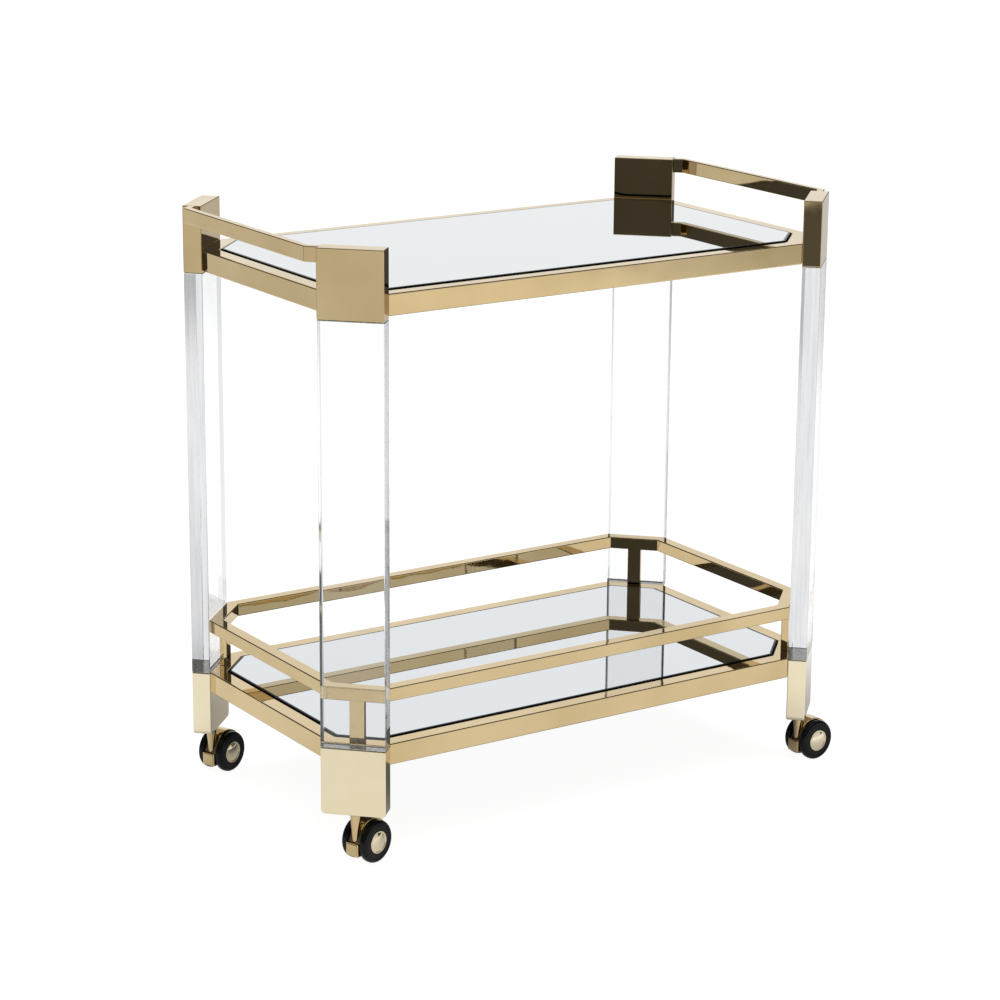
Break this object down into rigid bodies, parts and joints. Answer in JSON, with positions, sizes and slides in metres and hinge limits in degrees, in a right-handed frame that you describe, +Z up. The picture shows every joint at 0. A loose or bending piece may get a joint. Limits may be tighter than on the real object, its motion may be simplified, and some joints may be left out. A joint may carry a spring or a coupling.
{
  "type": "bar cart",
  "caption": "Rolling bar cart with mirror shelves in polished gold tray frames, clear acrylic slab legs, a low gallery rail, end handles and swivel casters.",
  "frame": {"origin": "on the floor, under the centre of the cart", "axes": "+X along the width, +Y from front to back, +Z up"},
  "size_m": [0.8193, 0.4676, 0.8001],
  "materials": {
    "polished_gold": "polished pale gold plate on hollow metal",
    "pale_gold": "polished champagne gold plate",
    "mirror": "silvered glass with a polished edge",
    "black_board": "black painted fibreboard",
    "clear_acrylic": "clear cast acrylic, polished edges",
    "black_tyre": "satin black moulded tread",
    "plain_steel": "plain turned steel"
  },
  "bodies": {
    "root": {"top_frame": "polished_gold", "lower_frame": "polished_gold", "gallery_rail": "polished_gold", "top_mirror": "mirror", "top_backing": "black_board", "lower_mirror": "mirror", "lower_backing": "black_board", "handle_left": "polished_gold", "handle_right": "polished_gold", "upper_block_front_left": "polished_gold", "acrylic_leg_front_left": "clear_acrylic", "foot_block_front_left": "pale_gold", "gallery_post_front_left": "polished_gold", "caster_socket_front_left": "plain_steel", "upper_block_front_right": "polished_gold", "acrylic_leg_front_right": "clear_acrylic", "foot_block_front_right": "pale_gold", "gallery_post_front_right": "polished_gold", "caster_socket_front_right": "plain_steel", "upper_block_back_left": "polished_gold", "acrylic_leg_back_left": "clear_acrylic", "foot_block_back_left": "pale_gold", "gallery_post_back_left": "polished_gold", "caster_socket_back_left": "plain_steel", "upper_block_back_right": "polished_gold", "acrylic_leg_back_right": "clear_acrylic", "foot_block_back_right": "pale_gold", "gallery_post_back_right": "polished_gold", "caster_socket_back_right": "plain_steel"},
    "caster_front_left": {"caster_stem_front_left": "plain_steel", "caster_body_front_left": "polished_gold", "caster_axle_front_left": "plain_steel"},
    "near_wheel_front_left": {"near_tyre_front_left": "black_tyre", "near_hub_front_left": "pale_gold"},
    "far_wheel_front_left": {"far_tyre_front_left": "black_tyre", "far_hub_front_left": "pale_gold"},
    "caster_front_right": {"caster_stem_front_right": "plain_steel", "caster_body_front_right": "polished_gold", "caster_axle_front_right": "plain_steel"},
    "near_wheel_front_right": {"near_tyre_front_right": "black_tyre", "near_hub_front_right": "pale_gold"},
    "far_wheel_front_right": {"far_tyre_front_right": "black_tyre", "far_hub_front_right": "pale_gold"},
    "caster_back_left": {"caster_stem_back_left": "plain_steel", "caster_body_back_left": "polished_gold", "caster_axle_back_left": "plain_steel"},
    "near_wheel_back_left": {"near_tyre_back_left": "black_tyre", "near_hub_back_left": "pale_gold"},
    "far_wheel_back_left": {"far_tyre_back_left": "black_tyre", "far_hub_back_left": "pale_gold"},
    "caster_back_right": {"caster_stem_back_right": "plain_steel", "caster_body_back_right": "polished_gold", "caster_axle_back_right": "plain_steel"},
    "near_wheel_back_right": {"near_tyre_back_right": "black_tyre", "near_hub_back_right": "pale_gold"},
    "far_wheel_back_right": {"far_tyre_back_right": "black_tyre", "far_hub_back_right": "pale_gold"}
  },
  "joints": [
    {"name": "swivel_front_left", "type": "hinge", "parent": "root", "child": "caster_front_left", "pos_m": [-0.36079, -0.19504, 0.06], "axis": [0, 0, 1], "continuous": true},
    {"name": "roll_near_front_left", "type": "hinge", "parent": "caster_front_left", "child": "near_wheel_front_left", "pos_m": [-0.34082, -0.18855, 0.028], "axis": [-0.309, 0.9511, 0], "continuous": true},
    {"name": "roll_far_front_left", "type": "hinge", "parent": "caster_front_left", "child": "far_wheel_front_left", "pos_m": [-0.34082, -0.18855, 0.028], "axis": [-0.309, 0.9511, 0], "continuous": true},
    {"name": "swivel_front_right", "type": "hinge", "parent": "root", "child": "caster_front_right", "pos_m": [0.36079, -0.19504, 0.06], "axis": [0, 0, 1], "continuous": true},
    {"name": "roll_near_front_right", "type": "hinge", "parent": "caster_front_right", "child": "near_wheel_front_right", "pos_m": [0.38174, -0.19358, 0.028], "axis": [-0.0698, 0.9976, 0], "continuous": true},
    {"name": "roll_far_front_right", "type": "hinge", "parent": "caster_front_right", "child": "far_wheel_front_right", "pos_m": [0.38174, -0.19358, 0.028], "axis": [-0.0698, 0.9976, 0], "continuous": true},
    {"name": "swivel_back_left", "type": "hinge", "parent": "root", "child": "caster_back_left", "pos_m": [-0.36079, 0.19504, 0.06], "axis": [0, 0, 1], "continuous": true},
    {"name": "roll_near_back_left", "type": "hinge", "parent": "caster_back_left", "child": "near_wheel_back_left", "pos_m": [-0.34132, 0.20291, 0.028], "axis": [-0.3746, 0.9272, 0], "continuous": true},
    {"name": "roll_far_back_left", "type": "hinge", "parent": "caster_back_left", "child": "far_wheel_back_left", "pos_m": [-0.34132, 0.20291, 0.028], "axis": [-0.3746, 0.9272, 0], "continuous": true},
    {"name": "swivel_back_right", "type": "hinge", "parent": "root", "child": "caster_back_right", "pos_m": [0.36079, 0.19504, 0.06], "axis": [0, 0, 1], "continuous": true},
    {"name": "roll_near_back_right", "type": "hinge", "parent": "caster_back_right", "child": "near_wheel_back_right", "pos_m": [0.37998, 0.20358, 0.028], "axis": [-0.4067, 0.9135, 0], "continuous": true},
    {"name": "roll_far_back_right", "type": "hinge", "parent": "caster_back_right", "child": "far_wheel_back_right", "pos_m": [0.37998, 0.20358, 0.028], "axis": [-0.4067, 0.9135, 0], "continuous": true}
  ]
}
